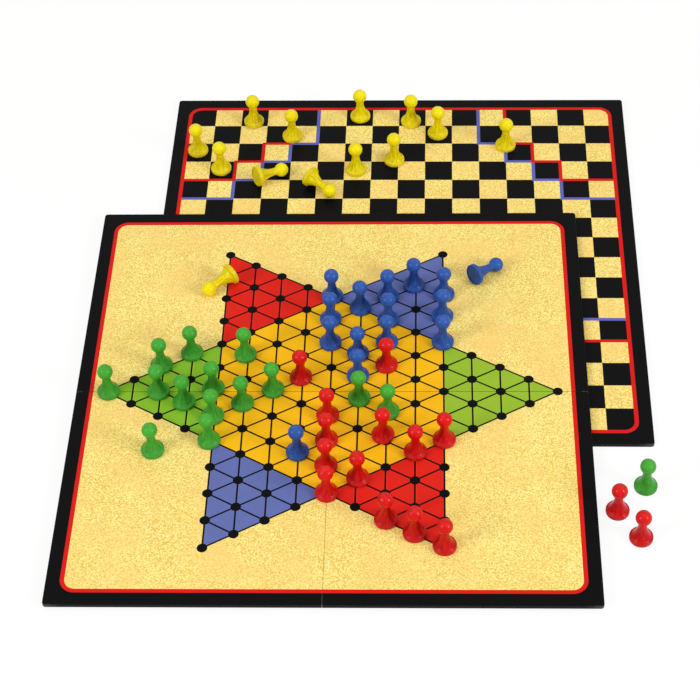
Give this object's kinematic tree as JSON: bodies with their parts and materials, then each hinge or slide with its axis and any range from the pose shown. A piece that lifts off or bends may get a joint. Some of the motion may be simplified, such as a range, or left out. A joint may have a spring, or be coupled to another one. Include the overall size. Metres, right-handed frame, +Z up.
{
  "type": "halma board game set",
  "caption": "Halma set: a folding star board lying across a folding checkered halma board, with standing and fallen pawns in green, blue, red and yellow.",
  "frame": {"origin": "on the table, under the middle of the set", "axes": "+X to the player's right, +Y away from the player, +Z up"},
  "size_m": [0.3592, 0.4412, 0.0305],
  "materials": {
    "greyboard": "matt greyboard",
    "star_print": "satin printed paper with a black border",
    "halma_print": "satin printed paper with a black border",
    "black_lining": "black lining paper",
    "hinge_cloth": "black book cloth",
    "green_plastic": "glossy moulded plastic",
    "blue_plastic": "glossy moulded plastic",
    "red_plastic": "glossy moulded plastic",
    "yellow_plastic": "glossy moulded plastic"
  },
  "bodies": {
    "halma_rear_right": {"halma_rear_right_core": "greyboard", "halma_rear_right_print": "halma_print", "halma_rear_right_lining": "black_lining"},
    "halma_rear_left": {"halma_rear_left_core": "greyboard", "halma_rear_left_print": "halma_print", "halma_rear_left_lining": "black_lining", "halma_centre_hinge_cloth": "hinge_cloth"},
    "halma_front_left": {"halma_front_left_core": "greyboard", "halma_front_left_print": "halma_print", "halma_front_left_lining": "black_lining", "halma_left_hinge_cloth": "hinge_cloth"},
    "halma_front_right": {"halma_front_right_core": "greyboard", "halma_front_right_print": "halma_print", "halma_front_right_lining": "black_lining", "halma_right_hinge_cloth": "hinge_cloth"},
    "star_rear_right": {"star_rear_right_core": "greyboard", "star_rear_right_print": "star_print", "star_rear_right_lining": "black_lining", "star_centre_hinge_cloth": "hinge_cloth"},
    "star_rear_left": {"star_rear_left_core": "greyboard", "star_rear_left_print": "star_print", "star_rear_left_lining": "black_lining"},
    "star_front_left": {"star_front_left_core": "greyboard", "star_front_left_print": "star_print", "star_front_left_lining": "black_lining", "star_left_hinge_cloth": "hinge_cloth"},
    "star_front_right": {"star_front_right_core": "greyboard", "star_front_right_print": "star_print", "star_front_right_lining": "black_lining", "star_right_hinge_cloth": "hinge_cloth"},
    "green_pawns": {"green_pawns": "green_plastic"},
    "blue_pawns": {"blue_pawns": "blue_plastic"},
    "red_pawns": {"red_pawns": "red_plastic"},
    "star_fallen_blue_pawn": {"star_fallen_blue_pawn": "blue_plastic"},
    "star_fallen_yellow_pawn": {"star_fallen_yellow_pawn": "yellow_plastic"},
    "yellow_pawns": {"yellow_pawns": "yellow_plastic"},
    "halma_fallen_yellow_pawn_1": {"halma_fallen_yellow_pawn_1": "yellow_plastic"},
    "halma_fallen_yellow_pawn_2": {"halma_fallen_yellow_pawn_2": "yellow_plastic"},
    "table_green_pawn": {"table_green_pawn": "green_plastic"},
    "table_red_pawn_1": {"table_red_pawn_1": "red_plastic"},
    "table_red_pawn_2": {"table_red_pawn_2": "red_plastic"}
  },
  "joints": [
    {"name": "star_board_lift", "type": "slide", "parent": "halma_rear_right", "child": "star_rear_left", "axis": [0, 0, 1], "range_m": [0, 0.72]},
    {"name": "star_front_left_fold", "type": "hinge", "parent": "star_rear_left", "child": "star_front_left", "pos_m": [-0.09974, -0.06089, 0.00615], "axis": [-1, 0, 0], "range_deg": [0, 180], "deforming": ["star_left_hinge_cloth"]},
    {"name": "star_centre_fold", "type": "hinge", "parent": "star_rear_left", "child": "star_rear_right", "pos_m": [-0.01989, 0.01896, 0.00285], "axis": [0, 1, 0], "range_deg": [0, 180], "deforming": ["star_centre_hinge_cloth"]},
    {"name": "star_front_right_fold", "type": "hinge", "parent": "star_rear_right", "child": "star_front_right", "pos_m": [0.05996, -0.06089, 0.00615], "axis": [-1, 0, 0], "range_deg": [0, 180], "deforming": ["star_right_hinge_cloth"]},
    {"name": "halma_centre_fold", "type": "hinge", "parent": "halma_rear_right", "child": "halma_rear_left", "pos_m": [0.01946, 0.13986, 0.00315], "axis": [0.0056, 1, 0], "range_deg": [0, 180], "deforming": ["halma_centre_hinge_cloth"]},
    {"name": "halma_front_left_fold", "type": "hinge", "parent": "halma_rear_left", "child": "halma_front_left", "pos_m": [-0.06084, 0.06046, -0.00015], "axis": [1, -0.0056, 0], "range_deg": [0, 180], "deforming": ["halma_left_hinge_cloth"]},
    {"name": "halma_front_right_fold", "type": "hinge", "parent": "halma_rear_right", "child": "halma_front_right", "pos_m": [0.09886, 0.05956, -0.00015], "axis": [1, -0.0056, 0], "range_deg": [0, 180], "deforming": ["halma_right_hinge_cloth"]},
    {"name": "green_pawns_lift", "type": "slide", "parent": "star_rear_left", "child": "green_pawns", "axis": [0, 0, 1], "range_m": [0, 0.55]},
    {"name": "blue_pawns_lift", "type": "slide", "parent": "star_rear_left", "child": "blue_pawns", "axis": [0, 0, 1], "range_m": [0, 0.55]},
    {"name": "red_pawns_lift", "type": "slide", "parent": "star_rear_left", "child": "red_pawns", "axis": [0, 0, 1], "range_m": [0, 0.55]},
    {"name": "star_fallen_blue_pawn_lift", "type": "slide", "parent": "star_rear_left", "child": "star_fallen_blue_pawn", "axis": [0, 0, 1], "range_m": [0, 0.55]},
    {"name": "star_fallen_yellow_pawn_lift", "type": "slide", "parent": "star_rear_left", "child": "star_fallen_yellow_pawn", "axis": [0, 0, 1], "range_m": [0, 0.55]},
    {"name": "yellow_pawns_lift", "type": "slide", "parent": "halma_rear_right", "child": "yellow_pawns", "axis": [0, 0, 1], "range_m": [0, 0.55]},
    {"name": "halma_fallen_yellow_pawn_1_lift", "type": "slide", "parent": "halma_rear_right", "child": "halma_fallen_yellow_pawn_1", "axis": [0, 0, 1], "range_m": [0, 0.55]},
    {"name": "halma_fallen_yellow_pawn_2_lift", "type": "slide", "parent": "halma_rear_right", "child": "halma_fallen_yellow_pawn_2", "axis": [0, 0, 1], "range_m": [0, 0.55]},
    {"name": "table_green_pawn_lift", "type": "slide", "parent": "halma_rear_right", "child": "table_green_pawn", "axis": [0, 0, 1], "range_m": [0, 0.06]},
    {"name": "table_red_pawn_1_lift", "type": "slide", "parent": "halma_rear_right", "child": "table_red_pawn_1", "axis": [0, 0, 1], "range_m": [0, 0.06]},
    {"name": "table_red_pawn_2_lift", "type": "slide", "parent": "halma_rear_right", "child": "table_red_pawn_2", "axis": [0, 0, 1], "range_m": [0, 0.06]}
  ],
  "couplings": [
    {"joint": "star_front_left_fold", "follows": "star_board_lift", "rad_per_m": 4.3633},
    {"joint": "star_centre_fold", "follows": "star_board_lift", "rad_per_m": 4.3633},
    {"joint": "star_front_right_fold", "follows": "star_board_lift", "rad_per_m": 4.3633},
    {"joint": "halma_centre_fold", "follows": "star_board_lift", "rad_per_m": 4.3633},
    {"joint": "green_pawns_lift", "follows": "star_board_lift", "ratio": 0.7638},
    {"joint": "blue_pawns_lift", "follows": "star_board_lift", "ratio": 0.7638},
    {"joint": "red_pawns_lift", "follows": "star_board_lift", "ratio": 0.7638},
    {"joint": "star_fallen_blue_pawn_lift", "follows": "star_board_lift", "ratio": 0.7638},
    {"joint": "star_fallen_yellow_pawn_lift", "follows": "star_board_lift", "ratio": 0.7638},
    {"joint": "yellow_pawns_lift", "follows": "star_board_lift", "ratio": 0.7638},
    {"joint": "halma_fallen_yellow_pawn_1_lift", "follows": "star_board_lift", "ratio": 0.7638},
    {"joint": "halma_fallen_yellow_pawn_2_lift", "follows": "star_board_lift", "ratio": 0.7638}
  ]
}
